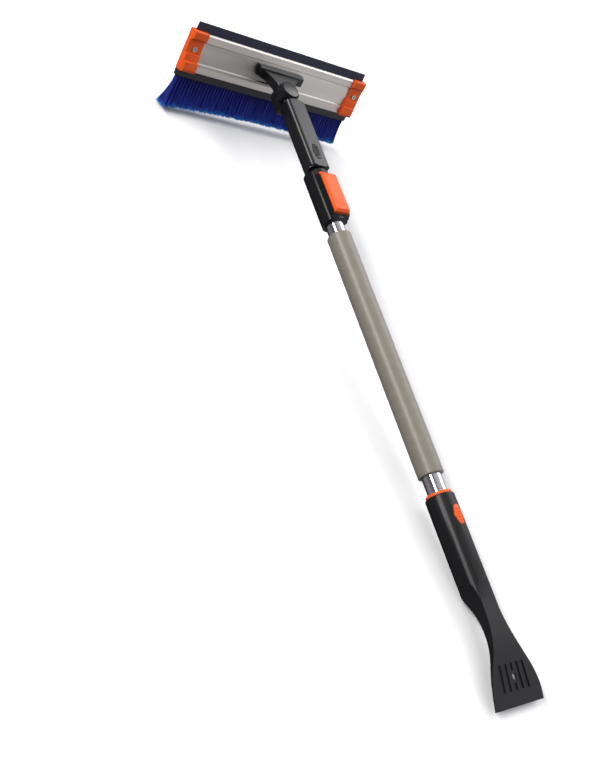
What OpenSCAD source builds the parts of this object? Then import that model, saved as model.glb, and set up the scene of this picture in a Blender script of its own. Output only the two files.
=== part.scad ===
// Telescopic windshield brush: squeegee and brush head on a swivel, telescopic tube with a
// flip-lever clamp, foam grip, and an ice scraper at the other end. All sizes in millimetres.

/* [Tubes and grip] */
// Outside diameter of the outer tube
tube_d = 25; // [22:0.5:32]
// Wall of the outer tube
tube_t = 1.1; // [0.8:0.1:1.6]
// Wall of the inner tube
inner_t = 1; // [0.8:0.1:1.4]
// Length of the foam grip
foam_l = 350; // [220:5:430]
// Thickness of the foam
foam_t = 4; // [3:0.5:7]
// Bare tube between handle and foam
gap_low = 23; // [15:1:60]
// Bare tube between foam and collar
gap_high = 19; // [10:1:60]

/* [Scraper and handle] */
// Width of the scraper blade at its edge
blade_w = 87; // [70:1:105]
// Length from the scraper edge to the handle's mouth
handle_l = 249; // [235:1:290]
// Wall of the handle around the tube
handle_wall = 5.9; // [5:0.1:7]
// Width of the waist between blade and handle
waist_w = 25.6; // [23:0.2:29]
// Radius of the hang hole
hole_r = 3.5; // [2.5:0.1:4]
// Height of the blade's ribs
rib_h = 1.4; // [0.8:0.1:2]

/* [Buttons] */
// Length of the oval push buttons
btn_l = 25; // [20:0.5:28]
// Width of the oval push buttons
btn_w = 12.5; // [10:0.5:13]
// Travel of the push buttons
btn_travel = 2.5; // [1.5:0.1:2.7]

/* [Clamp] */
// Length of the clamp collar
collar_l = 85; // [80:1:105]
// Width of the flip lever
lever_w = 26; // [25:0.5:29]
// Radius of the lever's pin
pin_r = 2; // [1.5:0.1:2.2]
// Offset of the cam from the pin
cam_e = 1; // [0.8:0.05:1.1]

/* [Neck and swivel] */
// Length of the neck socket
socket_l = 117; // [95:1:140]
// Radius of the swivel hub
hub_r = 16; // [15:0.2:19.4]
// Radius of the swivel pin
pivot_r = 4; // [3:0.5:5]
// Number of teeth on the hub
hub_teeth = 36; // [24:1:42]
// Height of the hub above its running face
hub_h = 15; // [14:0.5:17]

/* [Head] */
// Length of the aluminium profile
head_l = 312; // [240:2:380]
// Lean of the head away from the handle
tilt = 21.8; // [16:0.2:28]
// Height of the aluminium profile
prof_s = 55.5; // [52:0.5:64]
// Thickness of the aluminium profile
prof_t = 11; // [11:0.5:15]
// Squeegee rubber standing above the profile
squeegee_h = 12.5; // [8:0.5:18]
// Length of the bristles outside their block
bristle_l = 41; // [30:1:60]
// Width of the end caps' faces
cap_w = 24; // [18:0.5:30]

/* [Hidden] */
$fn = 72;
e = 0.01;
// running clearances
run = 0.05;
gap = 0.3;
// tubes
tube_r = tube_d / 2;
slide_gap = 0.4;
inner_r = tube_r - tube_t - slide_gap;
foam_y = handle_l + 4 + gap_low;
collar_y = foam_y + foam_l + gap_high;
stop_y = collar_y + 45;
socket_y = collar_y + collar_l + 1;
socket_top = socket_y + socket_l;
pivot_y = socket_top + hub_r + 5;
head_y = pivot_y + hub_r + 18;
head_z = -3.7;
// handle
handle_r = tube_r + handle_wall;
tube_y = handle_l - 57;
inner_y = handle_l + 13;
inner_top = socket_top - 8;
hw = waist_w / 2;
hb = blade_w / 2;
waist_y = 112;
mid_y = 48;
hm = hw + 0.576 * (hb - hw);
arc_a = (pow(hm - hw, 2) + pow(waist_y - mid_y, 2)) / (2 * (hm - hw));
slope_a = asin((waist_y - mid_y) / arc_a);
arc_b = (hb - hm) / (1 - cos(slope_a));
arc_b_y = mid_y - arc_b * sin(slope_a);
arc_w = 94;
front_z = sqrt(handle_r * handle_r - hw * hw);
front_l = 38;
front_arc = (front_l * front_l + pow(handle_r - front_z, 2)) / (2 * (handle_r - front_z));
edge_t = 1.2;
crest_y = 47;
crest_z = 6.2;
back_arc = (crest_y * crest_y + crest_z * crest_z) / (2 * crest_z);
bevel_y = 16;
bevel_z = 5.4;
blade_end_y = 60;
blade_end_z = front_z - 0.8;
rib_slope = atan((blade_end_z - bevel_z) / (blade_end_y - bevel_y));
rib_l = 30;
rib_t = 1.3;
rib_pitch = 11;
rib_fan = 2;
hole_y = 30.5;
ring_r = handle_r - 2;
ring_sleeve_r = tube_r + 1.6;
ring_sleeve_l = 11;
ring_flange = 3.8;
// buttons
hbtn_y = handle_l - 29.4;
ubtn_y = socket_y + 25;
btn_end_r = btn_w * 0.32;
btn_proud = 0.8;
btn_gap = 0.6;
stem_r = 3.2;
stem_gap = 0.5;
tab_w = 7;
tab_l = 1.4;
tab_t = 1.2;
lip_t = 1.8;
ridge_t = 1;
ridge_n = 5;
spring_wire = 0.9;
spring_r = 3.6;
// clamp
collar_r = tube_r + 4.5;
collar_front = tube_r + 0.5;
corner_r = 6;
seat_w = lever_w / 2 - 1.8;
lp_y = collar_y + collar_l - 19;
lp_z = collar_front + 5.4;
tail_r = 5.8;
lug_r = 3.2;
lever_y = collar_y + 6;
lever_wall = 2;
lever_top = lp_z + tail_r;
cam_r = 1.9 * pin_r;
cam_w = 13.6;
lug_in = cam_w / 2 + 0.6;
lug_out = lever_w / 2 - lever_wall - 0.5;
guard_in = lever_w / 2 + gap;
guard_t = 1.8;
guard_top = lever_top - 4.2;
pad_w = cam_w;
pad_l = 20;
pad_top = lp_z - cam_r - cam_e - gap;
// neck
socket_r = inner_r + 2;
socket_front = inner_r + 7;
neck_cr = 6;
neck_x = 11;
cheek_top = -3.2;
cheek_drop = 5;
cheek_low = -14.2;
hub_z = cheek_top + 0.4;
hub_top = hub_z + hub_h;
well_r = hub_r - 2.2;
well_z = hub_z + 11.2;
disc_r = well_r - 0.35;
disc_gap = 0.3;
washer_r = 8;
washer_t = 1.5;
pin_head_r = 7;
pin_head_t = 2.2;
disc_h = 5;
disc_top = hub_top + 4.6;
// head
cap_end = 5;
cap_x = head_l / 2 + cap_end;
s_top = prof_s * 0.595;
s_bot = s_top - prof_s;
face_top = 20.5;
face_bot = -8;
face_y = 0.4;
rail_y = -1;
cap_back = prof_t + 1.2;
cap_top_s = s_top + 1.2;
cap_floor = 1.5;
strip_x = head_l / 2 - 1.5;
blade_x = prof_t * 0.3;
blade_t = 3;
bead_r = 2.6;
block_y = prof_t * 0.53;
block_t = 6;
root_half = 3.2;
block_s = 10.5;
bristle_top = s_bot - block_s;
bristle_bot = bristle_top - bristle_l;
bristle_spread = 9;
bar_l = 80;
bar_n = 8;
bar_s0 = 2;
bar_s1 = 16;
screw_s = 9;
screw_x = head_l / 2 - 7;
bscrew_x = 26;
// datum: middle of the length, lowest bristle tip
y_top = head_y + cap_top_s * sin(tilt) + cap_back * cos(tilt);
z_low = head_z + bristle_bot * cos(tilt) - (block_y + bristle_spread) * sin(tilt);

black = [0.08, 0.08, 0.09];
orange = [0.93, 0.36, 0.15];
alu = [0.72, 0.71, 0.70];
steel = [0.78, 0.78, 0.80];
foam = [0.50, 0.48, 0.44];
rubber = [0.09, 0.09, 0.14];
blue = [0.08, 0.12, 0.55];

module placed() {
    translate([0, -y_top / 2, -z_low]) children();
}
// a section in (x, z) drawn out along +Y
module along_y(y0, l) {
    translate([0, y0 + l, 0]) rotate([90, 0, 0]) linear_extrude(l) children();
}
// a section in (y, z) drawn out along +X
module along_x(x0, l) {
    translate([x0, 0, 0]) rotate([90, 0, 90]) linear_extrude(l) children();
}
// a section in (radius, y) turned about the tube's axis
module around_y(y0) {
    translate([0, y0, 0]) rotate([-90, 0, 0]) rotate_extrude() children();
}
module rod_y(y0, l, r) {
    along_y(y0, l) circle(r);
}
module head_frame() {
    translate([0, head_y, head_z]) rotate([-tilt, 0, 0]) children();
}
module mirrored_x() {
    children();
    mirror([1, 0, 0]) children();
}
// outline round circles [x, y, r] given anticlockwise, with straight tangents between them
function tangents(c) = [
    for (i = [0 : len(c) - 1])
        let (
            a = c[i],
            b = c[(i + 1) % len(c)],
            d = norm([b[0] - a[0], b[1] - a[1]]),
            t = atan2(b[1] - a[1], b[0] - a[0]) - acos((a[2] - b[2]) / d)
        )
        each [
            [a[0] + a[2] * cos(t), a[1] + a[2] * sin(t)],
            [b[0] + b[2] * cos(t), b[1] + b[2] * sin(t)]
        ]
];
module wrapped(c) {
    polygon(tangents(c));
    for (k = c) translate([k[0], k[1]]) circle(k[2]);
}
// oval with half width a, half length b and end radius r
module oval(a, b, r) {
    polygon(tangents([[0, r - b, r], [0, 0, a], [0, b - r, r], [0, 0, a]]));
    circle(a);
    for (s = [-1, 1]) translate([0, s * (b - r)]) circle(r);
}
module spring(r, wire, h, turns) {
    half = wire / 2;
    pitch = (h - wire) / turns;
    arc = 360 * half / pitch;
    edge = [for (i = [-4 : 4]) i / 4];
    outer = [for (t = edge) let (w = half * sqrt(max(0, 1 - t * t)), a = t * arc)
        [(r + w) * cos(a), (r + w) * sin(a)]];
    inner = [for (i = [3 : -1 : -3]) let (t = i / 4, w = half * sqrt(1 - t * t), a = t * arc)
        [(r - w) * cos(a), (r - w) * sin(a)]];
    linear_extrude(height = h, twist = -360 * turns, slices = ceil(turns * 14), segments = 16, $fn = 14)
        polygon(concat(outer, inner));
}

// ---- oval push button with stem, end tabs and grip ridges; z0 is the surface it sits in,
// crown bends its top to a round handle
module button_body(y, z0, stem_z, crown) {
    low = z0 - lip_t - 0.2 - tab_t;
    translate([0, y, 0]) {
        intersection() {
            union() {
                translate([0, 0, low]) linear_extrude(z0 + btn_proud - low + 1)
                    oval(btn_w / 2, btn_l / 2, btn_end_r);
            }
            along_y(-btn_l, 2 * btn_l) polygon(concat(
                [for (i = [-3 : 3]) let (x = i * btn_w / 5.5) [-x, z0 + btn_proud - crown * x * x]],
                [[-btn_w * 3 / 5.5, 0], [btn_w * 3 / 5.5, 0]]
            ));
        }
        translate([-tab_w / 2, -btn_l / 2 - tab_l, low]) cube([tab_w, btn_l + 2 * tab_l, tab_t]);
        translate([0, 0, stem_z]) cylinder(r = stem_r, h = low - stem_z + e);
        for (i = [0 : ridge_n - 1])
            translate([-btn_w * 0.22, (i - (ridge_n - 1) / 2) * btn_l * 0.13 - ridge_t / 2, z0])
                cube([btn_w * 0.44, ridge_t, btn_proud + 0.9]);
    }
}
module button_cut(y, z0, z_in) {
    translate([0, y, z_in]) linear_extrude(40)
        oval(btn_w / 2 + btn_gap, btn_l / 2 + btn_gap, btn_end_r + btn_gap);
    translate([-tab_w / 2 - btn_gap, y - btn_l / 2 - tab_l - btn_gap, z_in])
        cube([tab_w + 2 * btn_gap, btn_l + 2 * tab_l + 2 * btn_gap, z0 - lip_t - z_in]);
}
module stem_hole(y) {
    translate([0, y, 0]) cylinder(r = stem_r + stem_gap, h = 60);
}

// ---- scraper and handle
module blade_plan() {
    difference() {
        polygon([
            [-hb, 0], [-hb, mid_y], [-hm, mid_y], [-hm, waist_y - 1], [-handle_r - 2, waist_y - 1],
            [-handle_r - 2, handle_l], [handle_r + 2, handle_l], [handle_r + 2, waist_y - 1],
            [hm, waist_y - 1], [hm, mid_y], [hb, mid_y], [hb, 0]
        ]);
        for (s = [-1, 1]) {
            translate([s * (hw + arc_a), waist_y]) circle(arc_a, $fn = 240);
            translate([s * (hw + arc_w), waist_y]) circle(arc_w, $fn = 240);
            // rounded shoulders of the blade
            difference() {
                translate([s * hb, mid_y / 2 + arc_b_y]) square([2 * (hb - hm), mid_y], center = true);
                translate([s * (hb - arc_b), arc_b_y]) circle(arc_b, $fn = 240);
            }
        }
    }
}
module blade_side() {
    difference() {
        polygon([
            [0, -30], [0, edge_t], [bevel_y, bevel_z], [blade_end_y, blade_end_z],
            [blade_end_y + 14, front_z], [waist_y, front_z], [waist_y, 30],
            [handle_l, 30], [handle_l, -30]
        ]);
        translate([waist_y, front_z + front_arc]) circle(front_arc, $fn = 240);
        translate([crest_y, crest_z - back_arc]) circle(back_arc, $fn = 240);
    }
}
module rib(x, y0, l) {
    z0 = bevel_z + (y0 - bevel_y) * tan(rib_slope) - 0.5;
    translate([x, y0, z0]) rotate([rib_slope, 0, 0]) rotate([0, 0, x / rib_pitch * rib_fan])
        translate([-rib_t / 2, 0, 0]) cube([rib_t, l, rib_h + 0.5]);
}
module scraper_handle() {
    color(black) placed() difference() {
        union() {
            intersection() {
                along_x(-80, 160) blade_side();
                translate([0, 0, -40]) linear_extrude(80) blade_plan();
                union() {
                    translate([-80, 0, -40]) cube([160, waist_y, 80]);
                    around_y(waist_y) {
                        square([handle_r - 2.4, handle_l - waist_y]);
                        square([handle_r, handle_l - waist_y - 2.4]);
                        translate([handle_r - 2.4, handle_l - waist_y - 2.4]) circle(2.4);
                    }
                }
            }
            for (i = [-2, -1, 1, 2]) rib(i * rib_pitch, bevel_y, rib_l);
            rib(0, bevel_y, hole_y - hole_r - 3 - bevel_y);
            rib(0, hole_y + hole_r + 3, bevel_y + rib_l - hole_y - hole_r - 3);
        }
        rod_y(tube_y, 80, tube_r);
        rod_y(tube_y - 30, 31, tube_r - tube_t - 0.5);
        rod_y(handle_l - ring_sleeve_l, 20, ring_sleeve_r);
        button_cut(hbtn_y, handle_r, 0);
        translate([0, hole_y, -20]) cylinder(r = hole_r, h = 60);
    }
}
module handle_ring() {
    color(orange) placed() around_y(handle_l - ring_sleeve_l) translate([tube_r, 0]) {
        square([ring_sleeve_r - tube_r, ring_sleeve_l + 1]);
        translate([0, ring_sleeve_l]) {
            square([ring_r - tube_r - 1.6, ring_flange]);
            square([ring_r - tube_r, ring_flange - 1.6]);
            translate([ring_r - tube_r - 1.6, ring_flange - 1.6]) circle(1.6);
        }
    }
}
module outer_tube() {
    color(steel) placed() difference() {
        rod_y(tube_y, stop_y - tube_y, tube_r);
        rod_y(tube_y - 1, stop_y - tube_y + 2, tube_r - tube_t);
        stem_hole(hbtn_y);
        translate([0, rivet_y(), -60]) cylinder(r = rivet_r, h = 60);
    }
}
module foam_grip() {
    end_r = min(2.6, foam_t * 0.45);
    color(foam) placed() around_y(foam_y) translate([tube_r, 0]) {
        square([foam_t - end_r, foam_l]);
        translate([0, end_r]) square([foam_t, foam_l - 2 * end_r]);
        for (y = [end_r, foam_l - end_r]) translate([foam_t - end_r, y]) circle(end_r);
    }
}
module handle_button() {
    color(orange) placed() button_body(hbtn_y, handle_r, tube_r - 4.2, 0.5 / handle_r);
}
module button_spring(y, wall_r, stem_z) {
    low = -sqrt(wall_r * wall_r - pow(spring_r + spring_wire / 2, 2));
    translate([0, y, low]) spring(spring_r, spring_wire, stem_z - low, 6);
}
module handle_button_spring() {
    color(steel) placed() button_spring(hbtn_y, tube_r - tube_t, tube_r - 4.2);
}

// ---- clamp collar and flip lever
rivet_r = 2;
function rivet_y() = collar_y + 22;
module collar_section() {
    wrapped([[0, 0, collar_r], [seat_w, collar_front - corner_r, corner_r],
        [-seat_w, collar_front - corner_r, corner_r]]);
}
// lugs that hold the lever's pin, each on a post from the collar
module pin_lugs() {
    mirrored_x() along_x(lug_in, lug_out - lug_in) {
        translate([lp_y, lp_z]) circle(lug_r);
        polygon([
            [lp_y - 9, collar_front - 3], [lp_y - gap, collar_front - 3], [lp_y - gap, lp_z],
            [lp_y - lug_r, lp_z], [lp_y - 9, collar_front + 1]
        ]);
    }
}
// guards on both sides of the lever, which keep the pin in
module lever_guards() {
    mirrored_x() along_x(guard_in, guard_t) {
        translate([lp_y, guard_top - tail_r]) circle(tail_r);
        polygon([
            [collar_y + 1, 6], [collar_y + 1, collar_front + 1], [lever_y - 1, guard_top - 1.5],
            [lever_y + 2, guard_top], [lp_y, guard_top], [lp_y + tail_r, guard_top - tail_r],
            [lp_y + tail_r, 6]
        ]);
    }
}
module clamp_collar() {
    color(black) placed() difference() {
        union() {
            intersection() {
                along_y(collar_y, collar_l) collar_section();
                around_y(collar_y) {
                    translate([0, 1.5]) square([collar_r + 4, collar_l - 15.5]);
                    square([collar_r + 2.5, 4]);
                    translate([0, collar_l - 14 - e]) intersection() {
                        square([collar_r + 4, 14 + e]);
                        translate([collar_r - 14, 0]) circle(18, $fn = 180);
                    }
                }
            }
            // lip under the lever's free end
            along_x(-guard_in - e, 2 * guard_in + 2 * e) polygon([
                [collar_y + 1, collar_front - 4], [collar_y + 1, collar_front + 0.5],
                [lever_y - 2.4, collar_front + 5], [lever_y - 0.6, collar_front + 5],
                [lever_y - 0.6, collar_front - 4]
            ]);
            pin_lugs();
            lever_guards();
        }
        rod_y(collar_y - 1, stop_y - collar_y + 1, tube_r);
        rod_y(stop_y - e, collar_l, inner_r + run);
        // swing of the lever's tail, around the lugs
        difference() {
            translate([-20, lp_y, lp_z]) rotate([0, 90, 0]) cylinder(r = tail_r + 0.4, h = 40);
            pin_lugs();
            lever_guards();
        }
        // window for the pad
        translate([-pad_w / 2 - gap, lp_y - pad_l / 2 - gap, 0])
            cube([pad_w + 2 * gap, pad_l + 2 * gap, 40]);
        translate([-lever_w / 2, lp_y, lp_z]) rotate([0, 90, 0]) cylinder(r = pin_r, h = 60);
        translate([0, rivet_y(), -collar_r - 1]) cylinder(r = rivet_r + 1.6, h = 2.6);
        translate([0, rivet_y(), -60]) cylinder(r = rivet_r, h = 60);
    }
}
module collar_rivet() {
    color(steel) placed() translate([0, rivet_y(), 0]) {
        translate([0, 0, -collar_r - 0.2]) cylinder(r = rivet_r + 1.6, h = 1.8);
        translate([0, 0, -collar_r - 0.2]) cylinder(r = rivet_r, h = collar_r + 0.2 - tube_r + tube_t + 0.15);
    }
}
module lever_pin() {
    color(steel) placed() translate([-lever_w / 2 + 0.3, lp_y, lp_z]) rotate([0, 90, 0])
        cylinder(r = pin_r, h = lever_w - 0.6);
}
module lever_side(inset) {
    t = tail_r - inset;
    translate([lp_y, lp_z]) circle(t);
    polygon([
        [lp_y, lp_z + t], [lever_y + 3 + inset, lever_top + 0.6 - inset],
        [lever_y + inset, lever_top - 2.4], [lever_y + inset, collar_front + (inset > 0 ? -1 : 1.6)],
        [lever_y + 14, collar_front + (inset > 0 ? -1 : 0.4)], [lp_y, collar_front + (inset > 0 ? -1 : 0.4)]
    ]);
}
module lock_lever() {
    hw2 = lever_w / 2;
    color(orange) placed() difference() {
        union() {
            intersection() {
                union() {
                    difference() {
                        along_x(-hw2, lever_w) lever_side(0);
                        along_x(-hw2 + lever_wall, lever_w - 2 * lever_wall) lever_side(2.2);
                        // end of the tail is open between the arms, and below the pin
                        translate([-lug_in - 0.2, lp_y + cam_r - 0.2, 0]) cube([2 * lug_in + 0.4, 20, 40]);
                        translate([-hw2 + lever_wall, lp_y - e, lp_z - 20]) cube([lever_w - 2 * lever_wall, 20, 20]);
                        // arched over the round of the collar
                        rod_y(lever_y - 5, collar_l, collar_r + 0.4);
                    }
                    // cam
                    translate([-cam_w / 2, lp_y, lp_z - cam_e]) rotate([0, 90, 0])
                        cylinder(r = cam_r, h = cam_w);
                    translate([-cam_w / 2, lp_y - cam_r, lp_z - cam_e]) cube([cam_w, 2 * cam_r - 0.5,
                        tail_r + cam_e - 1]);
                }
                along_y(lever_y - 5, collar_l) polygon([
                    [-hw2, 0], [hw2, 0], [hw2, lever_top - 3.6], [hw2 - 1.8, lever_top + 2],
                    [1.8 - hw2, lever_top + 2], [-hw2, lever_top - 3.6]
                ]);
            }
            // finger ridges near the free end
            for (i = [0 : 5]) translate([-hw2 + 4.5, lever_y + 7 + i * 2.8, lever_top - 1])
                cube([lever_w - 9, 0.9, 1.75 - i * 0.03]);
        }
        translate([-30, lp_y, lp_z]) rotate([0, 90, 0]) cylinder(r = pin_r + run, h = 60);
    }
}
module clamp_pad() {
    color(black) placed() difference() {
        translate([-pad_w / 2, lp_y - pad_l / 2, 0]) cube([pad_w, pad_l, pad_top]);
        rod_y(lp_y - pad_l, 2 * pad_l, inner_r + gap);
    }
}

// ---- neck: inner tube, bush, socket and its button
module inner_tube() {
    color(steel) placed() difference() {
        rod_y(inner_y, inner_top - inner_y, inner_r);
        rod_y(inner_y - 1, inner_top - inner_y + 2, inner_r - inner_t);
        stem_hole(ubtn_y);
    }
}
module inner_tube_bush() {
    color(black) placed() difference() {
        union() {
            rod_y(inner_y - 6, 6, inner_r + slide_gap - run);
            rod_y(inner_y - 1, 18, inner_r - inner_t);
        }
        rod_y(inner_y - 8, 40, inner_r - inner_t - 2.5);
    }
}
module neck_section() {
    wrapped([[0, 0, socket_r], [neck_x, socket_front - neck_cr, neck_cr],
        [-neck_x, socket_front - neck_cr, neck_cr]]);
}
module neck_socket() {
    color(black) placed() difference() {
        union() {
            intersection() {
                along_y(socket_y, socket_l) neck_section();
                around_y(socket_y) {
                    square([socket_front + 1.4, socket_l]);
                    translate([0, 1.5]) square([socket_front + 6, socket_l - 3]);
                }
            }
            // lower cheek that carries the swivel pin
            intersection() {
                translate([0, 0, -30]) linear_extrude(30 + cheek_top) {
                    translate([0, pivot_y]) circle(hub_r + 0.6);
                    translate([-hub_r - 0.6, socket_top - 5]) square([2 * hub_r + 1.2, pivot_y - socket_top + 5]);
                }
                along_x(-40, 80) polygon([
                    [socket_top - 12, 0], [socket_top - 8, cheek_low + 4], [socket_top - 3, cheek_low],
                    [pivot_y + hub_r + 4, cheek_low + cheek_drop], [pivot_y + hub_r + 4, 0]
                ]);
            }
        }
        rod_y(socket_y - 1, inner_top - socket_y + 1, inner_r);
        button_cut(ubtn_y, socket_front, 0);
        translate([0, pivot_y, hub_z]) cylinder(r = hub_r + 1.6, h = 40);
        translate([0, pivot_y, -40]) cylinder(r = pivot_r, h = 60);
        translate([0, pivot_y, -40]) cylinder(r = pin_head_r + 0.3, h = 40 + cheek_top - 4.2);
    }
}
module upper_button() {
    color(black) placed() button_body(ubtn_y, socket_front, inner_r - 3.6, 0);
}
module upper_button_spring() {
    color(steel) placed() button_spring(ubtn_y, inner_r - inner_t, inner_r - 3.6);
}
module pivot_pin() {
    color(steel) placed() translate([0, pivot_y, 0]) {
        translate([0, 0, cheek_top - 4.2 - pin_head_t]) cylinder(r = pin_head_r, h = pin_head_t);
        translate([0, 0, cheek_top - 4.2 - e]) cylinder(r = pivot_r, h = well_z + gap + washer_t - cheek_top + 4.2 + e);
    }
}
module pivot_washer() {
    color(steel) placed() translate([0, pivot_y, well_z + gap]) difference() {
        cylinder(r = washer_r, h = washer_t);
        translate([0, 0, -1]) cylinder(r = pivot_r, h = 10);
    }
}
module pivot_button() {
    low = hub_top + 0.2;
    color(black) placed() translate([0, pivot_y, 0]) difference() {
        intersection() {
            translate([0, 0, low]) cylinder(r = disc_r, h = disc_top - low);
            translate([0, 0, disc_top - 90]) sphere(90, $fn = 180);
        }
        translate([0, 0, low - 1]) cylinder(r = washer_r + 1.5, h = disc_top - 2.2 - low + 1);
    }
}
module pivot_spring() {
    z0 = well_z + gap + washer_t;
    color(steel) placed() translate([0, pivot_y, z0]) spring(5.4, 0.8, disc_top - 2.2 - z0, 2.5);
}

// ---- head: bracket, profile, caps, squeegee and brush
module head_bracket() {
    color(black) placed() difference() {
        union() {
            translate([0, pivot_y, hub_z]) cylinder(r = hub_r, h = hub_top - hub_z);
            difference() {
                translate([0, 0, hub_z]) linear_extrude(hub_top - hub_z - 2.4) difference() {
                    translate([-bar_l / 2 + 1, pivot_y - 4]) square([bar_l - 2, 50]);
                    for (s = [-1, 1]) translate([s * (hub_r + 33), pivot_y]) circle(34);
                    for (s = [-1, 1]) translate([s * (bar_l / 2 + 3), pivot_y + 8]) circle(14);
                }
                head_frame() translate([-60, face_y, -60]) cube([120, 90, 140]);
                head_frame() translate([-60, -40, bar_s1]) cube([120, 90, 80]);
            }
            head_frame() intersection() {
                translate([-bar_l / 2, -bar_n, bar_s0]) cube([bar_l, bar_n + face_y, bar_s1 - bar_s0]);
                along_x(-bar_l / 2, bar_l) polygon([
                    [face_y, bar_s0], [face_y, bar_s1], [-bar_n + 2.5, bar_s1],
                    [-bar_n, bar_s1 - 2.5], [-bar_n, bar_s0]
                ]);
            }
            // fins on the ends of the bar
            head_frame() mirrored_x() for (i = [0 : 3])
                translate([bar_l / 2 - e, -bar_n + 0.9 + i * 1.7, bar_s0 + 1]) cube([1.2, 0.8, bar_s1 - bar_s0 - 4.5]);
            // ring of teeth round the button
            for (i = [0 : hub_teeth - 1]) translate([0, pivot_y, hub_top - 0.5]) rotate(i * 360 / hub_teeth)
                translate([well_r + 0.3, -0.7, 0]) cube([hub_r - well_r - 0.5, 1.4, 1.9]);
        }
        translate([0, pivot_y, -30]) cylinder(r = pivot_r + run, h = 60);
        translate([0, pivot_y, well_z]) cylinder(r = well_r, h = 40);
        head_frame() for (x = [-bscrew_x, bscrew_x]) translate([x, 1, screw_s]) rotate([90, 0, 0])
            cylinder(r = 2, h = 7);
    }
}
module bracket_screws() {
    color(steel) placed() head_frame() for (x = [-bscrew_x, bscrew_x]) translate([x, 0, screw_s])
        rotate([-90, 0, 0]) {
            translate([0, 0, -6]) cylinder(r = 2, h = prof_t + 6);
            translate([0, 0, prof_t]) difference() {
                cylinder(r = 3.8, h = 2.4);
                for (a = [0, 90]) rotate(a) translate([-2.2, -0.4, 1]) cube([4.4, 0.8, 4]);
            }
        }
}
module profile_outer() {
    polygon([
        [2, s_top], [rail_y, s_top - 2], [rail_y, face_top + 1], [face_y, face_top],
        [face_y, face_bot], [rail_y + 0.2, face_bot - 1.5], [rail_y + 0.2, face_bot - 6],
        [1.5, s_bot], [prof_t, s_bot], [prof_t, s_top - 3], [prof_t - 3, s_top]
    ]);
    // fine beads along the rails
    for (s = [s_top - 3.6, face_top + 1.3, face_bot - 2.4, face_bot - 4.8])
        translate([rail_y - 0.6, s]) square([1.2, 0.9]);
}
module head_profile() {
    color(alu) placed() head_frame() difference() {
        along_x(-head_l / 2, head_l) difference() {
            profile_outer();
            // closed chamber
            translate([face_y + 1.5, face_bot + 2]) square([prof_t - face_y - 3, face_top - face_bot - 3.5]);
            // channel for the squeegee's bead
            translate([blade_x, s_top - 6.5]) circle(bead_r);
            translate([blade_x - blade_t / 2, s_top - 6.5]) square([blade_t, 20]);
            // channel for the brush block
            translate([block_y - block_t / 2, s_bot - 1]) square([block_t, 4]);
            translate([block_y - block_t / 2 - 1, s_bot + 2]) square([block_t + 2, 6]);
        }
        for (x = [-screw_x, screw_x]) translate([x, -5, screw_s]) rotate([-90, 0, 0]) cylinder(r = 1.9, h = 9);
        for (x = [-bscrew_x, bscrew_x]) translate([x, -5, screw_s]) rotate([-90, 0, 0])
            cylinder(r = 2, h = prof_t + 10);
    }
}
module cap(side) {
    x_in = head_l / 2 - cap_w + cap_end;
    color(orange) placed() head_frame() mirror([side < 0 ? 1 : 0, 0, 0]) difference() {
        intersection() {
            // stepped front
            along_x(x_in, cap_w) polygon([
                [cap_back, s_bot - 0.3], [cap_back, cap_top_s - 3], [cap_back - 3, cap_top_s],
                [-4.2, cap_top_s], [-5.4, cap_top_s - 1.2], [-5.4, face_top + 3.5],
                [-cap_floor, face_top - 0.5], [-cap_floor, 2.6], [-4, 2], [-4, face_bot],
                [-7, face_bot - 0.6], [-7, s_bot + 3], [-5.4, s_bot - 0.3]
            ]);
            // bevelled outer end, drawn in towards the back
            translate([0, 0, -80]) linear_extrude(160) polygon([
                [0, -9], [cap_x - 3.6, -9], [cap_x - 3.6, -7], [cap_x, -2], [cap_x, 2],
                [cap_x - 4.2, cap_back + 1], [0, cap_back + 1]
            ]);
        }
        along_x(x_in - 1, head_l / 2 - x_in + 1) profile_outer();
        translate([0, 1.5, s_bot - 2]) cube([head_l / 2, prof_t + 4, 2.2]);
        translate([screw_x, -9, screw_s]) rotate([-90, 0, 0]) cylinder(r = 1.9, h = 12);
        // end of the rubber strip
        translate([0, blade_x - blade_t / 2, s_top - 1]) cube([head_l / 2, blade_t, 10]);
    }
}
module end_cap_left() {
    cap(-1);
}
module end_cap_right() {
    cap(1);
}
module cap_screws() {
    color(steel) placed() head_frame() for (x = [-screw_x, screw_x]) translate([x, -cap_floor, screw_s])
        rotate([-90, 0, 0]) {
            cylinder(r = 1.9, h = 5.2);
            translate([0, 0, -1.9]) difference() {
                cylinder(r = 3.6, h = 1.9);
                for (a = [0, 90]) rotate(a) translate([-2.2, -0.4, -1]) cube([4.4, 0.8, 2]);
            }
        }
}
module squeegee_blade() {
    tip = s_top + squeegee_h;
    color(rubber) placed() head_frame() {
        along_x(-strip_x, 2 * strip_x) translate([blade_x, s_top - 6.5]) circle(bead_r);
        along_x(-strip_x, 2 * strip_x) polygon([
            [blade_x - blade_t / 2, s_top - 7.5], [blade_x - blade_t / 2, s_top + 4],
            [blade_x - 0.7, tip], [blade_x + 0.7, tip], [blade_x + blade_t / 2, s_top + 4],
            [blade_x + blade_t / 2, s_top - 7.5]
        ]);
    }
}
module brush_block() {
    color(rubber) placed() head_frame() {
        along_x(-head_l / 2, head_l) {
            translate([block_y - block_t / 2, s_bot - 1]) square([block_t, 4]);
            translate([block_y - block_t / 2 - 1, s_bot + 2]) square([block_t + 2, 5.5]);
        }
        along_x(-head_l / 2 - 2, head_l + 4) polygon([
            [block_y - block_t / 2 - 1.5, s_bot - 0.3], [block_y + block_t / 2 + 1.5, s_bot - 0.3],
            [block_y + block_t / 2 + 0.5, bristle_top], [block_y - block_t / 2 - 0.5, bristle_top]
        ]);
    }
}
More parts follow.
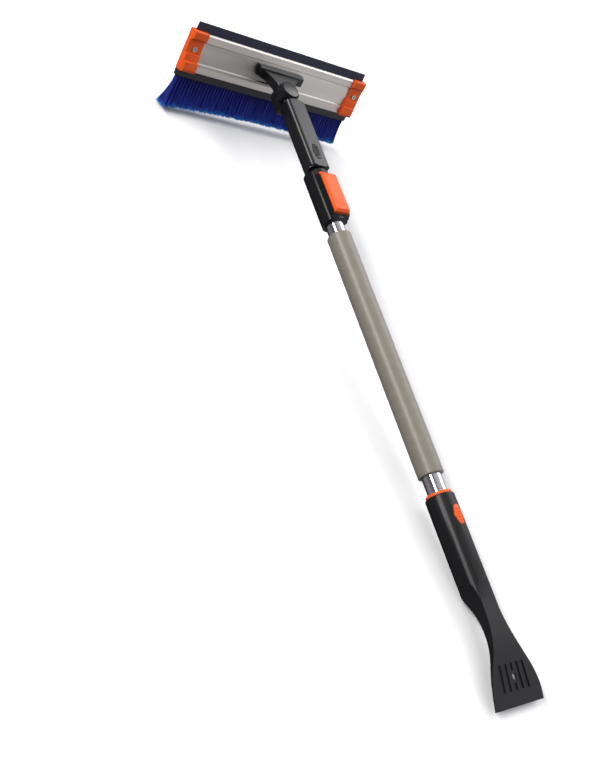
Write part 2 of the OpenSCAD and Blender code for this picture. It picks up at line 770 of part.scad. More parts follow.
module bristles() {
    color(blue) placed() head_frame() intersection() {
        along_x(-cap_x - 10, 2 * cap_x + 20) polygon([
            [block_y - root_half, bristle_top], [block_y - bristle_spread, bristle_bot],
            [block_y + bristle_spread, bristle_bot], [block_y + root_half, bristle_top]
        ]);
        rotate([90, 0, 0]) translate([0, 0, -60]) linear_extrude(120) polygon([
            [-head_l / 2, bristle_top], [-cap_x, bristle_bot], [cap_x, bristle_bot], [head_l / 2, bristle_top]
        ]);
    }
}

scraper_handle();
handle_ring();
handle_button();
handle_button_spring();
outer_tube();
foam_grip();
clamp_collar();
collar_rivet();
lever_pin();
lock_lever();
clamp_pad();
inner_tube();
inner_tube_bush();
neck_socket();
upper_button();
upper_button_spring();
pivot_pin();
pivot_washer();
pivot_button();
pivot_spring();
head_bracket();
bracket_screws();
head_profile();
end_cap_left();
end_cap_right();
cap_screws();
squeegee_blade();
brush_block();
bristles();
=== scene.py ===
import math

import bmesh
import bpy
from mathutils import Matrix, Vector


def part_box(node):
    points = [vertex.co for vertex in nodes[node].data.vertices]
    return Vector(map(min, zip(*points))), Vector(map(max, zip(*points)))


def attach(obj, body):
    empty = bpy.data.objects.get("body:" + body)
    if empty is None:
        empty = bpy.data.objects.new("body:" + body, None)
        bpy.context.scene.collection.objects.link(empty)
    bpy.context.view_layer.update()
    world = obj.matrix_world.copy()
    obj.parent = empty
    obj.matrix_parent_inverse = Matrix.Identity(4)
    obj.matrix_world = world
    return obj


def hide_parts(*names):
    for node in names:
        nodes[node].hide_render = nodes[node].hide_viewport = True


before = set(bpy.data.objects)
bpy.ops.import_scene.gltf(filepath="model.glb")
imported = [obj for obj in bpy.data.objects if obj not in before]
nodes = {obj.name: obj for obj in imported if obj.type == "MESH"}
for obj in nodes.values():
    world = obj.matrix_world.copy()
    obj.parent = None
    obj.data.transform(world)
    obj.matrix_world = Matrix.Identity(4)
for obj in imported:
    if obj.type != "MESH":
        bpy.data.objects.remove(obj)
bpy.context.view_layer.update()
collection = bpy.context.scene.collection
bpy.context.scene.view_settings.view_transform = "Standard"

# ---- Camera -------------------------------------------------------------------------
# The tool lies face up and is seen from its left, from about 40 degrees above, with the
# camera rolled so that the handle runs from the top left to the bottom right.
camera = bpy.data.objects.new("camera", bpy.data.cameras.new("camera"))
collection.objects.link(camera)
camera.data.lens = 47.556
camera.data.sensor_width = 36
eye = Vector((-0.9190, -0.4889, 0.8174))
right = Vector((0.74709, -0.30292, 0.59170))
up = Vector((-0.02694, 0.87561, 0.48227))
back = right.cross(up).normalized()
right = up.cross(back).normalized()
up = up.normalized()
place = Matrix.Identity(4)
for column, axis in enumerate((right, up, back, eye)):
    for row in range(3):
        place[row][column] = axis[row]
camera.matrix_world = place
bpy.context.scene.camera = camera

# ---- Scraper and handle -------------------------------------------------------------
# One injection moulding in black nylon: a flared blade with five stiffening ribs on its
# face, a flat waist, and a round sleeve pushed over the lower end of the outer tube.
# The mould is fine-textured, so it is deep black with one soft grey highlight.


def linear(hex_code):
    """An sRGB hex colour as linear RGBA."""
    values = [int(hex_code[i:i + 2], 16) / 255 for i in (1, 3, 5)]
    values = [v / 12.92 if v <= 0.04045 else ((v + 0.055) / 1.055) ** 2.4 for v in values]
    return (*values, 1.0)


def add(tree, kind, sockets=(), **settings):
    """Adds a node with its settings; each socket gets a constant or a link."""
    made = tree.nodes.new(kind)
    for key, value in settings.items():
        setattr(made, key, value)
    for key, value in dict(sockets).items():
        if isinstance(value, bpy.types.NodeSocket):
            tree.links.new(value, made.inputs[key])
        else:
            made.inputs[key].default_value = value
    return made


def new_material(name):
    """An empty node material, its tree and its output node."""
    material = bpy.data.materials.new(name)
    material.use_nodes = True
    material.node_tree.nodes.clear()
    output = add(material.node_tree, "ShaderNodeOutputMaterial")
    return material, material.node_tree, output


def moulded(name, colour, deep, rough, grain_mm, relief, gloss=0.5):
    """Injection-moulded plastic: cloudy flow marks 25 mm across, and the fine grain of
    an eroded mould, which breaks up the highlights."""
    material, tree, output = new_material(name)
    where = add(tree, "ShaderNodeTexCoord").outputs["Object"]
    cloud = add(tree, "ShaderNodeTexNoise", {"Vector": where, "Scale": 1000 / 25, "Detail": 3.0})
    grain = add(tree, "ShaderNodeTexNoise", {"Vector": where, "Scale": 1000 / grain_mm, "Detail": 2.0})
    tone = add(tree, "ShaderNodeMix", {
        "Factor": cloud.outputs["Fac"], 6: linear(deep), 7: linear(colour)}, data_type="RGBA")
    sheen = add(tree, "ShaderNodeMapRange", {
        "Value": grain.outputs["Fac"], "To Min": rough - 0.07, "To Max": rough + 0.07})
    bump = add(tree, "ShaderNodeBump", {
        "Height": grain.outputs["Fac"], "Strength": relief, "Distance": grain_mm / 4000})
    shader = add(tree, "ShaderNodeBsdfPrincipled", {
        "Base Color": tone.outputs[2], "Roughness": sheen.outputs[0], "IOR": 1.5,
        "Specular IOR Level": gloss, "Normal": bump.outputs[0]})
    tree.links.new(shader.outputs[0], output.inputs[0])
    return material


def crisp(node, body, material, edge_mm, name=None):
    """A copy of a CAD node with its triangles joined and its edges rounded by edge_mm,
    which stands for the node and rides on its body."""
    mesh = nodes[node].data.copy()
    mesh.materials.clear()
    mesh.materials.append(material)
    for layer in list(mesh.uv_layers):
        mesh.uv_layers.remove(layer)
    loose = bmesh.new()
    loose.from_mesh(mesh)
    for face in loose.faces:
        face.material_index = 0
    bmesh.ops.remove_doubles(loose, verts=loose.verts, dist=2e-6)
    bmesh.ops.dissolve_limit(
        loose, angle_limit=math.radians(0.5), verts=loose.verts, edges=loose.edges)
    loose.to_mesh(mesh)
    loose.free()
    mesh.shade_smooth()
    mesh.set_sharp_from_angle(angle=math.radians(32))
    piece = bpy.data.objects.new(name or node + "_look", mesh)
    collection.objects.link(piece)
    if edge_mm:
        bevel = piece.modifiers.new("rounded_edges", "BEVEL")
        bevel.limit_method = "ANGLE"
        bevel.angle_limit = math.radians(34)
        bevel.width = edge_mm / 1000
        bevel.segments = 2
        bevel.harden_normals = True
    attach(piece, body)
    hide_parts(node)
    return piece


black_nylon = moulded(
    "black_nylon_textured_moulding", "#131215", "#0D0D0F", rough=0.38, grain_mm=0.7, relief=0.2,
    gloss=0.32)
crisp("scraper_handle", "handle", black_nylon, 0.5)

# ---- Orange ring in the handle's mouth -----------------------------------------------
# An orange ABS moulding: a thin sleeve pressed between tube and handle, and the rounded
# flange that closes the mouth. The mould is smooth, but the light on it stays soft.
orange_abs = moulded(
    "orange_abs_smooth_moulding", "#EE6220", "#E85518", rough=0.42, grain_mm=1.2, relief=0.08, gloss=0.28)
crisp("handle_ring", "handle", orange_abs, 0.3)

# ---- Outer tube ----------------------------------------------------------------------
# Drawn tube, polished and clear-coated. It shows as hard white and dark streaks running
# along its length, slightly broken by the lines that drawing leaves.


def drawn_metal(name, colour, rough, along, line_mm, relief):
    """Metal drawn or extruded along one axis: fine lines about 150 mm long that way, and
    a tone that shifts slightly over 40 mm."""
    material, tree, output = new_material(name)
    where = add(tree, "ShaderNodeTexCoord").outputs["Object"]
    scale = [1000 / line_mm] * 3
    scale[along] = 1000 / 150
    lines = add(tree, "ShaderNodeTexNoise", {
        "Vector": add(tree, "ShaderNodeMapping", {"Vector": where, "Scale": scale}).outputs[0],
        "Scale": 1.0, "Detail": 3.0})
    blotch = add(tree, "ShaderNodeTexNoise", {"Vector": where, "Scale": 1000 / 40, "Detail": 2.0})
    tone = add(tree, "ShaderNodeMix", {
        "Factor": blotch.outputs["Fac"], 6: linear(colour[0]), 7: linear(colour[1])},
        data_type="RGBA")
    sheen = add(tree, "ShaderNodeMapRange", {
        "Value": lines.outputs["Fac"], "To Min": rough * 0.8, "To Max": rough * 1.25})
    bump = add(tree, "ShaderNodeBump", {
        "Height": lines.outputs["Fac"], "Strength": relief, "Distance": line_mm / 8000})
    shader = add(tree, "ShaderNodeBsdfPrincipled", {
        "Base Color": tone.outputs[2], "Roughness": sheen.outputs[0], "Metallic": 1.0,
        "Normal": bump.outputs[0]})
    tree.links.new(shader.outputs[0], output.inputs[0])
    return material


polished_tube = drawn_metal(
    "polished_drawn_tube", ("#CFCDD0", "#C3C1C5"), 0.15, along=1, line_mm=1.0, relief=0.05)
crisp("outer_tube", "handle", polished_tube, 0.3)

# ---- Foam grip -----------------------------------------------------------------------
# A sleeve of closed-cell EVA foam stretched over the tube. Its sanded skin is taupe grey
# with very fine cells and a soft sheen, and wavers by a tenth of a millimetre. The ends
# are cut square and have slightly softened rims.
low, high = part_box("foam_grip")
tube_radius = (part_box("outer_tube")[1][0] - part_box("outer_tube")[0][0]) / 2
foam_radius = (high[0] - low[0]) / 2
foam_axis = (high[2] + low[2]) / 2
rim = 0.0016
rim_steps = 6
profile = [(foam_radius - rim + rim * math.sin(a), low[1] + rim - rim * math.cos(a))
           for a in (math.radians(90 / rim_steps * i) for i in range(rim_steps + 1))]
steps = 150
span = high[1] - low[1] - 2 * rim
profile += [(foam_radius, low[1] + rim + span * i / steps) for i in range(1, steps)]
profile += [(r, low[1] + high[1] - y) for r, y in reversed(profile[:rim_steps + 1])]
# the bore lies a tenth of a millimetre off the tube, and twice that at its two mouths
bore_gap, mouth_gap = 0.0001, 0.0002
bore_in, mouth_in = 0.004, 0.0004
profile += [
    (tube_radius + mouth_gap, high[1] - mouth_in), (tube_radius + bore_gap, high[1] - bore_in),
    (tube_radius + bore_gap, low[1] + bore_in), (tube_radius + mouth_gap, low[1] + mouth_in)]
# the skin's two slow waves: height, radians per metre, turns around the tube, start
skin_waves = ((0.00006, 190, 2, 0.0), (0.00005, 431, -3, 1.3))
skin_depth = 0.0003
sides = 72
grip = bmesh.new()
rings = []
for r, y in profile:
    ring = []
    for k in range(sides):
        a = 2 * math.pi * k / sides
        waver = 0.0
        if r > foam_radius - skin_depth:
            waver = sum(height * math.sin(y * pace + turns * a + start)
                        for height, pace, turns, start in skin_waves)
        ring.append(grip.verts.new((
            (r + waver) * math.cos(a), y, foam_axis + (r + waver) * math.sin(a))))
    rings.append(ring)
for i, ring in enumerate(rings):
    following = rings[(i + 1) % len(rings)]
    for k in range(sides):
        j = (k + 1) % sides
        grip.faces.new((ring[k], following[k], following[j], ring[j]))
bmesh.ops.recalc_face_normals(grip, faces=grip.faces)
mesh = bpy.data.meshes.new("foam_grip_look")
grip.to_mesh(mesh)
grip.free()
mesh.shade_smooth()
mesh.set_sharp_from_angle(angle=math.radians(50))
foam_piece = bpy.data.objects.new("foam_grip_look", mesh)
collection.objects.link(foam_piece)

# EVA foam, sanded: open half-cells about 0.4 mm wide, drawn 0.8 mm wide so that they show
eva_foam, tree, output = new_material("eva_foam_sanded")
where = add(tree, "ShaderNodeTexCoord").outputs["Object"]
cells = add(tree, "ShaderNodeTexVoronoi", {"Vector": where, "Scale": 1000 / 0.8})
haze = add(tree, "ShaderNodeTexNoise", {"Vector": where, "Scale": 1000 / 12, "Detail": 4.0})
tone = add(tree, "ShaderNodeMix", {
    "Factor": haze.outputs["Fac"], 6: linear("#736D62"), 7: linear("#817B6F")}, data_type="RGBA")
# painted shade in each cell's hollow and painted light on its rim, from the same cells as the bump
cell_shade_and_light = add(tree, "ShaderNodeMapRange", {
    "Value": cells.outputs["Distance"], "From Max": 0.7, "To Min": 0.90, "To Max": 1.04})
shade = add(tree, "ShaderNodeVectorMath", {
    0: tone.outputs[2], "Scale": cell_shade_and_light.outputs[0]}, operation="SCALE")
bump = add(tree, "ShaderNodeBump", {
    "Height": cells.outputs["Distance"], "Strength": 0.35, "Distance": 0.00012})
shader = add(tree, "ShaderNodeBsdfPrincipled", {
    "Base Color": shade.outputs[0], "Roughness": 0.40, "IOR": 1.45,
    "Sheen Weight": 0.15, "Sheen Roughness": 0.5, "Normal": bump.outputs[0]})
tree.links.new(shader.outputs[0], output.inputs[0])
mesh.materials.append(eva_foam)
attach(foam_piece, "handle")
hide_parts("foam_grip")

# ---- Clamp collar, its rivet and the clamp pad ---------------------------------------
# A black nylon collar riveted to the end of the outer tube, with lugs for the lever's
# pin, a guard beside each of the lever's walls and a window for the pad, which is out of
# sight. The pin and the rivet are zinc-plated steel.
crisp("clamp_collar", "handle", black_nylon, 0.5)
zinc_steel = drawn_metal(
    "zinc_plated_steel", ("#C4C6C8", "#B4B6B9"), 0.28, along=2, line_mm=1.5, relief=0.05)
crisp("collar_rivet", "handle", zinc_steel, 0.3)
crisp("lever_pin", "handle", zinc_steel, 0.3)
crisp("clamp_pad", "pad", black_nylon, 0.2)

# ---- Flip lever ----------------------------------------------------------------------
# An orange ABS lever lying between the collar's two guards, with a cam between its side
# walls and shallow finger ridges near its free end. Lifted, it frees the inner tube.
crisp("lock_lever", "lever", orange_abs, 0.5)

# ---- Push buttons --------------------------------------------------------------------
# Oval push buttons with ribs across them: orange ABS in the handle, black nylon in the
# neck. Each has a stem that goes through the tube, and a coil spring of steel wire.
crisp("handle_button", "handle_button", orange_abs, 0.2)
crisp("upper_button", "upper_button", black_nylon, 0.2)
spring_wire = drawn_metal(
    "spring_steel_wire", ("#A9ABAF", "#9A9CA1"), 0.25, along=2, line_mm=0.6, relief=0.05)
for name in ("handle_button_spring", "upper_button_spring", "pivot_spring"):
    nodes[name].data.materials.clear()
    nodes[name].data.materials.append(spring_wire)

# ---- Inner tube and its bush ---------------------------------------------------------
# The same polished tube, a size smaller, sliding inside the outer one on a black nylon
# bush. All but a few millimetres of it is hidden while the tool is closed.
crisp("inner_tube", "neck", polished_tube, 0.2)
crisp("inner_tube_bush", "neck", black_nylon, 0.2)

# ---- Neck socket ---------------------------------------------------------------------
# A black nylon socket with a flat front, moulded in a smoother tool than the handle, so
# its front takes a broad grey sheen. Its lower cheek carries the swivel pin.
neck_nylon = moulded(
    "black_nylon_satin_moulding", "#1A1A1D", "#121214", rough=0.33, grain_mm=0.8, relief=0.12,
    gloss=0.45)
crisp("neck_socket", "neck", neck_nylon, 0.6)

# ---- Swivel pin, washer and release button -------------------------------------------
# A steel pin with a washer holds the head's hub on the neck. The round button on top is
# smooth black nylon with a grey reflection, and frees the swivel when it is pressed.
crisp("pivot_pin", "neck", zinc_steel, 0.3)
crisp("pivot_washer", "neck", zinc_steel, 0.2)
button_nylon = moulded(
    "black_nylon_smooth_moulding", "#1E1E21", "#161618", rough=0.26, grain_mm=1.0, relief=0.08)
crisp("pivot_button", "pivot_button", button_nylon, 0.4)

# ---- Head bracket and its screws -----------------------------------------------------
# A black nylon bracket: a toothed hub on the swivel, two arms, and a bar that is screwed
# through the profile from behind. The bar's two ends are finned. The screws are steel.
crisp("head_bracket", "head", neck_nylon, 0.4)
crisp("bracket_screws", "head", zinc_steel, 0.15)

# ---- Head profile --------------------------------------------------------------------
# An aluminium extrusion, brushed along its length and clear anodised: a wide grey face
# between two raised rails, whose edges catch the light as thin white lines.
anodised = drawn_metal(
    "aluminium_extrusion_satin_anodised", ("#D2CEC9", "#C8C4BF"), 0.36, along=0, line_mm=0.9,
    relief=0.10)
crisp("head_profile", "head", anodised, 0.3)

# ---- End caps and their screws -------------------------------------------------------
# Two mirror-image orange ABS mouldings pushed over the ends of the profile, stepped on
# the front, with a deep recess for a cross-head screw of plated steel.
for side in ("left", "right"):
    crisp("end_cap_" + side, "head", orange_abs, 0.6)
crisp("cap_screws", "head", zinc_steel, 0.15)

# ---- Squeegee blade ------------------------------------------------------------------
# A strip of navy-black rubber with a bead that slides into the top of the profile. It is
# extruded and cut, smooth and matt.
squeegee_rubber = moulded(
    "navy_rubber_extruded", "#20223F", "#1A1C34", rough=0.5, grain_mm=1.5, relief=0.05, gloss=0.4)
crisp("squeegee_blade", "head", squeegee_rubber, 0.2)

# ---- Brush block ---------------------------------------------------------------------
# A bar of dark polypropylene in the lower channel of the profile. The tufts are stapled
# into three rows of holes in its underside.
block_plastic = moulded(
    "dark_polypropylene_moulding", "#1D1D26", "#17171E", rough=0.5, grain_mm=1.0, relief=0.1)
crisp("brush_block", "head", block_plastic, 0.5)

# ---- Bristles ------------------------------------------------------------------------
# Three rows of tufts of blue polypropylene filament, stapled and folded in the block,
# slightly crimped, and split at the tips, where they look lighter. They have bent a
# little to the tool's left, where they are longest and splay sideways.
tilt = math.radians(21.8)
head_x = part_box("head_profile")[1][0]
bristle_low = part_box("bristles")[0]
bristle_length = 0.041
# in the leaning head, down runs along the filaments and out across the rows
down = Vector((0, -math.sin(tilt), -math.cos(tilt)))
out = Vector((0, math.cos(tilt), -math.sin(tilt)))
spread = 0.009
root_half = 0.0032
tuft_radius = 0.0012
# the tip of the middle row, in from the envelope's lowest edge by the spread at the tips
tips = Vector((
    0, bristle_low[1] + spread * math.cos(tilt), bristle_low[2] + spread * math.sin(tilt)))


def filament_tree():
    """Tufts on a line; each filament is a bent tube with three sides."""
    strand_points, strand_sides = 6, 3
    bend_power, splay_power, least_splay = 1.7, 5.0, -0.2
    crimp_turn, crimp_phase = 9.0, 3.1
    strand_wear, tuft_wear = 0.028, 0.012
    tree = bpy.data.node_groups.new("filament_tufts", "GeometryNodeTree")
    face = tree.interface
    face.new_socket("Geometry", in_out="OUTPUT", socket_type="NodeSocketGeometry")
    for label, kind in (
            ("Row length", "Float"), ("Tufts", "Int"), ("Filaments", "Int"), ("Length", "Float"),
            ("Tuft radius", "Float"), ("Lean", "Float"), ("Splay", "Float"), ("Crimp", "Float"),
            ("Set", "Float"), ("Strand stray", "Vector"), ("Tuft stray", "Vector"),
            ("Middle length", "Float"), ("End rise", "Float"), ("Left rise", "Float"),
            ("Thickness", "Float"), ("Seed", "Int"), ("Turn", "Float"), ("Place", "Vector"),
            ("Material", "Material")):
        face.new_socket(label, in_out="INPUT", socket_type="NodeSocket" + kind)
    given = add(tree, "NodeGroupInput").outputs
    half = add(tree, "ShaderNodeMath", {0: given["Row length"], 1: -0.5}, operation="MULTIPLY")
    gaps = add(tree, "ShaderNodeMath", {0: given["Tufts"], 1: 1.0}, operation="SUBTRACT")
    pitch = add(tree, "ShaderNodeMath", {0: given["Row length"], 1: gaps.outputs[0]},
                operation="DIVIDE")
    first = add(tree, "ShaderNodeCombineXYZ", {"X": half.outputs[0]})
    step = add(tree, "ShaderNodeCombineXYZ", {"X": pitch.outputs[0]})
    line = add(tree, "GeometryNodeMeshLine", {
        "Count": given["Tufts"], "Start Location": first.outputs[0], "Offset": step.outputs[0]})
    many = add(tree, "GeometryNodeDuplicateElements", {
        "Geometry": line.outputs[0], "Amount": given["Filaments"]}, domain="POINT")
    index = add(tree, "GeometryNodeInputIndex").outputs[0]
    tuft = add(tree, "ShaderNodeMath", {0: index, 1: given["Filaments"]}, operation="DIVIDE")
    tuft = add(tree, "ShaderNodeMath", {0: tuft.outputs[0]}, operation="FLOOR").outputs[0]
    # three random vectors: for the filament's root, for its tip and for its tuft
    kept = many.outputs[0]
    for label, shift, source in (("root_off", 0, index), ("tip_off", 7, index), ("tuft_off", 13, tuft)):
        seed = add(tree, "ShaderNodeMath", {0: given["Seed"], 1: float(shift)}, operation="ADD")
        chance = add(tree, "FunctionNodeRandomValue", {
            0: (-1, -1, -1), 1: (1, 1, 1), "ID": source, "Seed": seed.outputs[0]},
            data_type="FLOAT_VECTOR")
        kept = add(tree, "GeometryNodeStoreNamedAttribute", {
            "Geometry": kept, "Name": label, "Value": chance.outputs[0]},
            data_type="FLOAT_VECTOR", domain="POINT").outputs[0]
    place = add(tree, "GeometryNodeInputPosition").outputs[0]
    kept = add(tree, "GeometryNodeStoreNamedAttribute", {
        "Geometry": kept, "Name": "home", "Value": place},
        data_type="FLOAT_VECTOR", domain="POINT").outputs[0]
    strand = add(tree, "GeometryNodeCurvePrimitiveLine", {"End": (0, 0, -1)})
    strand = add(tree, "GeometryNodeResampleCurve", {
        "Curve": strand.outputs[0], "Count": strand_points})
    strands = add(tree, "GeometryNodeInstanceOnPoints", {
        "Points": kept, "Instance": strand.outputs[0]})
    strands = add(tree, "GeometryNodeRealizeInstances", {"Geometry": strands.outputs[0]})
    along = add(tree, "GeometryNodeSplineParameter").outputs[0]
    marked = add(tree, "GeometryNodeStoreNamedAttribute", {
        "Geometry": strands.outputs[0], "Name": "along", "Value": along},
        data_type="FLOAT", domain="POINT").outputs[0]
    read = {}
    for label in ("root_off", "tip_off", "tuft_off", "home"):
        read[label] = add(tree, "GeometryNodeInputNamedAttribute", {"Name": label},
                          data_type="FLOAT_VECTOR").outputs[0]
    tint = add(tree, "ShaderNodeSeparateXYZ", {0: read["tip_off"]}).outputs[2]
    marked = add(tree, "GeometryNodeStoreNamedAttribute", {
        "Geometry": marked, "Name": "tint", "Value": tint},
        data_type="FLOAT", domain="POINT").outputs[0]
    # bend grows faster than the way down the filament
    bend = add(tree, "ShaderNodeMath", {0: along, 1: bend_power}, operation="POWER").outputs[0]
    # from the root: a place in the tuft's disc
    disc = add(tree, "ShaderNodeVectorMath", {
        0: read["root_off"], 1: (1, 1, 0)}, operation="MULTIPLY")
    disc = add(tree, "ShaderNodeVectorMath", {
        0: disc.outputs[0], "Scale": given["Tuft radius"]}, operation="SCALE").outputs[0]
    spot = add(tree, "ShaderNodeVectorMath", {0: read["home"], 1: disc}, operation="ADD").outputs[0]
    # towards the tip: the row's lean, each tuft's and each filament's own stray, and the splay
    home_x = add(tree, "ShaderNodeSeparateXYZ", {0: read["home"]}).outputs[0]
    ratio = add(tree, "ShaderNodeMath", {0: home_x, 1: half.outputs[0]}, operation="DIVIDE")
    steep = add(tree, "ShaderNodeMath", {0: ratio.outputs[0], 1: splay_power}, operation="POWER")
    steep = add(tree, "ShaderNodeMath", {0: steep.outputs[0], 1: least_splay}, operation="MAXIMUM")
    splay = add(tree, "ShaderNodeMath", {0: steep.outputs[0], 1: given["Splay"]}, operation="MULTIPLY")
    splay = add(tree, "ShaderNodeMath", {0: splay.outputs[0], 1: -1.0, 2: given["Set"]},
                operation="MULTIPLY_ADD")
    lean = add(tree, "ShaderNodeCombineXYZ", {"X": splay.outputs[0], "Y": given["Lean"]}).outputs[0]
    stray = add(tree, "ShaderNodeVectorMath", {
        0: read["tip_off"], 1: given["Strand stray"]}, operation="MULTIPLY").outputs[0]
    group = add(tree, "ShaderNodeVectorMath", {
        0: read["tuft_off"], 1: given["Tuft stray"]}, operation="MULTIPLY").outputs[0]
    reach = add(tree, "ShaderNodeVectorMath", {0: lean, 1: stray}, operation="ADD").outputs[0]
    reach = add(tree, "ShaderNodeVectorMath", {0: reach, 1: group}, operation="ADD").outputs[0]
    reach = add(tree, "ShaderNodeVectorMath", {0: reach, "Scale": bend}, operation="SCALE").outputs[0]
    # crimp: a slow wave with a phase of its own
    phase = add(tree, "ShaderNodeSeparateXYZ", {0: read["root_off"]}).outputs[2]
    phase = add(tree, "ShaderNodeMath", {0: phase, 1: crimp_phase}, operation="MULTIPLY").outputs[0]
    turn = add(tree, "ShaderNodeMath", {0: along, 1: crimp_turn, 2: phase},
               operation="MULTIPLY_ADD").outputs[0]
    wave = add(tree, "ShaderNodeMath", {0: turn}, operation="SINE").outputs[0]
    wave = add(tree, "ShaderNodeMath", {0: wave, 1: given["Crimp"]}, operation="MULTIPLY").outputs[0]
    wave = add(tree, "ShaderNodeMath", {0: wave, 1: along}, operation="MULTIPLY").outputs[0]
    crimp = add(tree, "ShaderNodeCombineXYZ", {"X": wave, "Y": wave}).outputs[0]
    # length: shortest past the middle, uneven from tuft to tuft and strand to strand
    worn = add(tree, "ShaderNodeSeparateXYZ", {0: read["tip_off"]}).outputs[2]
    worn = add(tree, "ShaderNodeMath", {0: worn, 1: strand_wear, 2: given["Middle length"]},
               operation="MULTIPLY_ADD").outputs[0]
    uneven = add(tree, "ShaderNodeSeparateXYZ", {0: read["tuft_off"]}).outputs[2]
    worn = add(tree, "ShaderNodeMath", {0: uneven, 1: tuft_wear, 2: worn},
               operation="MULTIPLY_ADD").outputs[0]
    square = add(tree, "ShaderNodeMath", {0: ratio.outputs[0], 1: 2.0}, operation="POWER").outputs[0]
    worn = add(tree, "ShaderNodeMath", {0: square, 1: given["End rise"], 2: worn},
               operation="MULTIPLY_ADD").outputs[0]
    worn = add(tree, "ShaderNodeMath", {0: ratio.outputs[0], 1: given["Left rise"], 2: worn},
               operation="MULTIPLY_ADD").outputs[0]
    depth = add(tree, "ShaderNodeMath", {0: worn, 1: given["Length"]}, operation="MULTIPLY").outputs[0]
    depth = add(tree, "ShaderNodeMath", {0: depth, 1: along}, operation="MULTIPLY").outputs[0]
    depth = add(tree, "ShaderNodeMath", {0: depth, 1: -1.0}, operation="MULTIPLY").outputs[0]
    drop = add(tree, "ShaderNodeCombineXYZ", {"Z": depth}).outputs[0]
    at = add(tree, "ShaderNodeVectorMath", {0: spot, 1: reach}, operation="ADD").outputs[0]
    at = add(tree, "ShaderNodeVectorMath", {0: at, 1: crimp}, operation="ADD").outputs[0]
    at = add(tree, "ShaderNodeVectorMath", {0: at, 1: drop}, operation="ADD").outputs[0]
    bent = add(tree, "GeometryNodeSetPosition", {"Geometry": marked, "Position": at})
    half_thick = add(tree, "ShaderNodeMath", {0: given["Thickness"], 1: 0.5}, operation="MULTIPLY")
    ring = add(tree, "GeometryNodeCurvePrimitiveCircle", {
        "Resolution": strand_sides, "Radius": half_thick.outputs[0]})
    solid = add(tree, "GeometryNodeCurveToMesh", {
        "Curve": bent.outputs[0], "Profile Curve": ring.outputs[0], "Fill Caps": True})
    turned = add(tree, "ShaderNodeCombineXYZ", {"X": given["Turn"]})
    laid = add(tree, "GeometryNodeTransform", {
        "Geometry": solid.outputs[0], "Translation": given["Place"], "Rotation": turned.outputs[0]})
    real = add(tree, "GeometryNodeRealizeInstances", {"Geometry": laid.outputs[0]})
    painted = add(tree, "GeometryNodeSetMaterial", {
        "Geometry": real.outputs[0], "Material": given["Material"]})
    add(tree, "NodeGroupOutput", {"Geometry": painted.outputs[0]})
    return tree


def grown(name, tree, values):
    """The plain mesh that a Geometry Nodes tree makes with these named inputs."""
    piece = bpy.data.objects.new(name, bpy.data.meshes.new(name))
    collection.objects.link(piece)
    modifier = piece.modifiers.new("nodes", "NODES")
    modifier.node_group = tree
    for item in tree.interface.items_tree:
        if item.in_out == "INPUT" and item.name in values:
            modifier[item.identifier] = values[item.name]
    depsgraph = bpy.context.evaluated_depsgraph_get()
    result = bpy.data.meshes.new_from_object(
        piece.evaluated_get(depsgraph), preserve_all_data_layers=True, depsgraph=depsgraph)
    piece.modifiers.remove(modifier)
    piece.data = result
    result.name = name
    return piece


# Polypropylene filament, extruded and crimped: royal blue, with painted shade that darkens it towards the
# roots where the filaments stand close, and lighter and slightly milky where the split tips scatter the
# light.
filament, tree, output = new_material("blue_polypropylene_filament")
way = add(tree, "ShaderNodeAttribute", attribute_name="along").outputs["Fac"]
own = add(tree, "ShaderNodeAttribute", attribute_name="tint").outputs["Fac"]
where = add(tree, "ShaderNodeTexCoord").outputs["Object"]
clump = add(tree, "ShaderNodeTexNoise", {"Vector": where, "Scale": 1000 / 9, "Detail": 2.0})
# painted shade: from the tips the colour darkens towards the roots, with random clumps and a tint of each
# filament's own
root_shade_and_tint = add(tree, "ShaderNodeMath", {0: way, 1: 0.90}, operation="MULTIPLY").outputs[0]
root_shade_and_tint = add(tree, "ShaderNodeMath", {0: clump.outputs["Fac"], 1: 0.26, 2: root_shade_and_tint}, operation="MULTIPLY_ADD")
root_shade_and_tint = add(tree, "ShaderNodeMath", {0: own, 1: 0.09, 2: root_shade_and_tint.outputs[0]}, operation="MULTIPLY_ADD")
ramp = add(tree, "ShaderNodeValToRGB", {"Fac": root_shade_and_tint.outputs[0]})
stops = ramp.color_ramp.elements
stops[0].position, stops[0].color = 0.0, linear("#141A5E")
stops[1].position, stops[1].color = 1.0, linear("#3C98EE")
for position, colour in ((0.25, "#1E2A90"), (0.84, "#2033A8"), (0.94, "#1C58C0")):
    stop = stops.new(position)
    stop.color = linear(colour)
rough = add(tree, "ShaderNodeMapRange", {"Value": way, "To Min": 0.42, "To Max": 0.6})
shader = add(tree, "ShaderNodeBsdfPrincipled", {
    "Base Color": ramp.outputs[0], "Roughness": rough.outputs[0], "IOR": 1.49})
tree.links.new(shader.outputs[0], output.inputs[0])

tufts = filament_tree()
middle = tips - down * bristle_length
row_inset = 0.0011
lean_less = 0.0048
for number, offset in enumerate((-1, 0, 1)):
    row_place = middle + out * (root_half - row_inset) * offset
    row = grown("bristle_row_%d" % (number + 1), tufts, {
        "Row length": 2 * head_x - 0.004, "Tufts": 62, "Filaments": 76,
        "Length": bristle_length, "Tuft radius": tuft_radius,
        "Strand stray": (0.0021, 0.0031, 0.0), "Tuft stray": (0.0013, 0.0011, 0.0),
        "Middle length": 0.885, "End rise": 0.118, "Left rise": 0.072,
        "Lean": (spread - lean_less) * offset, "Splay": 0.0042, "Crimp": 0.0005, "Set": -0.0030,
        "Thickness": 0.00052, "Seed": 11 + number, "Turn": -tilt,
        "Place": row_place, "Material": filament})
    row.data.shade_smooth()
    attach(row, "head")
    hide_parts("bristles")

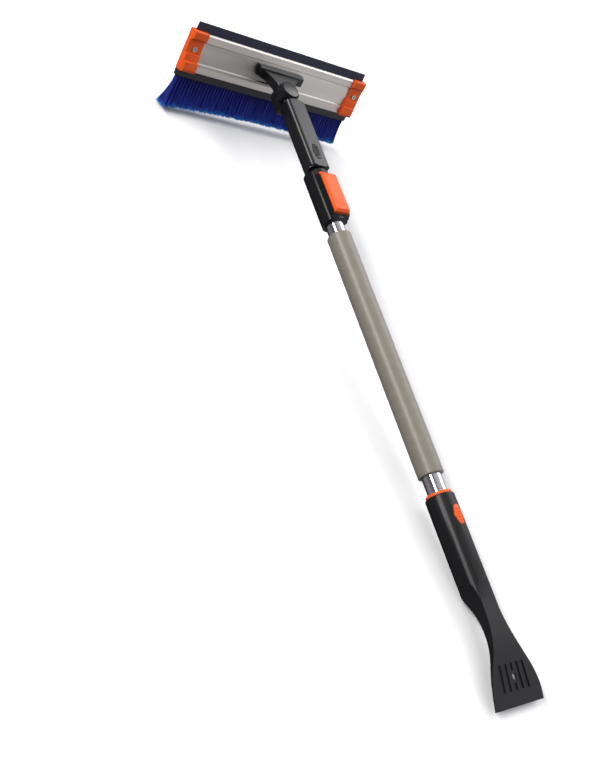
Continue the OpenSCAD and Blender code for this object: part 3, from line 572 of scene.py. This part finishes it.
# ---- Floor and light -----------------------------------------------------------------
# The tool rests on the bristle tips and on the handle's heel, so the plain white floor
# leans a few degrees against the tool's own axes. A square softbox over its right lights
# the upper faces, and a narrow strip on its left draws the long highlights.
# the longer tips hang about this far below the bristles' envelope
longest_tip = 0.003
brush_rest = Vector((0, bristle_low[1], bristle_low[2] - longest_tip))
handle_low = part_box("scraper_handle")[0]
# the heel lies this far from the scraper's edge
heel = 0.1434
heel_rest = Vector((0, handle_low[1] + heel, handle_low[2]))
slope = math.atan2(brush_rest.z - heel_rest.z, brush_rest.y - heel_rest.y)
mesh = bpy.data.meshes.new("floor")
floor_gap = Vector((0, 0, 0.0012))
disc = bmesh.new()
bmesh.ops.create_circle(disc, cap_ends=True, segments=96, radius=9)
disc.transform(Matrix.Translation(brush_rest - floor_gap) @ Matrix.Rotation(slope, 4, "X"))
disc.to_mesh(mesh)
disc.free()
floor = bpy.data.objects.new("floor", mesh)
collection.objects.link(floor)
paper, tree, output = new_material("white_paper_sweep")
where = add(tree, "ShaderNodeTexCoord").outputs["Object"]
fibre = add(tree, "ShaderNodeTexNoise", {"Vector": where, "Scale": 3.0, "Detail": 2.0})
tone = add(tree, "ShaderNodeMix", {
    "Factor": fibre.outputs["Fac"], 6: linear("#F8F8F8"), 7: linear("#FCFCFC")}, data_type="RGBA")
shader = add(tree, "ShaderNodeBsdfPrincipled", {
    "Base Color": tone.outputs[2], "Roughness": 0.9, "Specular IOR Level": 0.1})
tree.links.new(shader.outputs[0], output.inputs[0])
mesh.materials.append(paper)
# the tool neither mirrors the paper nor takes its bounced light
floor.visible_glossy = False
floor.visible_diffuse = False

lamp_distance = 4.5
for name, direction, width, length, power in (
        ("overhead", (0.66, 0.40, 0.64), 2.6, 2.6, 64),
        ("strip", (-0.76, 0.38, 0.53), 0.9, 5.0, 265)):
    lamp = bpy.data.objects.new(name, bpy.data.lights.new(name, "AREA"))
    collection.objects.link(lamp)
    lamp.data.shape = "RECTANGLE"
    lamp.data.size = width
    lamp.data.size_y = length
    lamp.data.energy = power
    away = Vector(direction).normalized()
    lamp.location = away * lamp_distance
    # the long side follows the tool
    across = Vector((0, 1, 0)).cross(away).normalized()
    lamp.rotation_euler = Matrix((across, away.cross(across), away)).transposed().to_euler()
world = bpy.data.worlds.new("studio")
bpy.context.scene.world = world
world.use_nodes = True
tree = world.node_tree
tree.nodes.clear()
# the room is bright to the tool's right and dark to its left, and paler again low down
way = add(tree, "ShaderNodeTexCoord").outputs["Generated"]
side = add(tree, "ShaderNodeVectorMath", {0: way, 1: (0.79, -0.10, 0.60)}, operation="DOT_PRODUCT")
side = add(tree, "ShaderNodeMapRange", {"Value": side.outputs["Value"], "From Min": -1.0})
room = add(tree, "ShaderNodeValToRGB", {"Fac": side.outputs[0]})
stops = room.color_ramp.elements
stops[0].position, stops[0].color = 0.0, linear("#96929A")
stops[1].position, stops[1].color = 1.0, linear("#E6E6EA")
for position, colour in ((0.12, "#6A666E"), (0.2, "#1E1E22"), (0.4, "#2E2E33"), (0.73, "#D6D6D8")):
    stop = stops.new(position)
    stop.color = linear(colour)
light = add(tree, "ShaderNodeBackground", {"Color": room.outputs[0], "Strength": 1.0})
add(tree, "ShaderNodeOutputWorld", {0: light.outputs[0]})
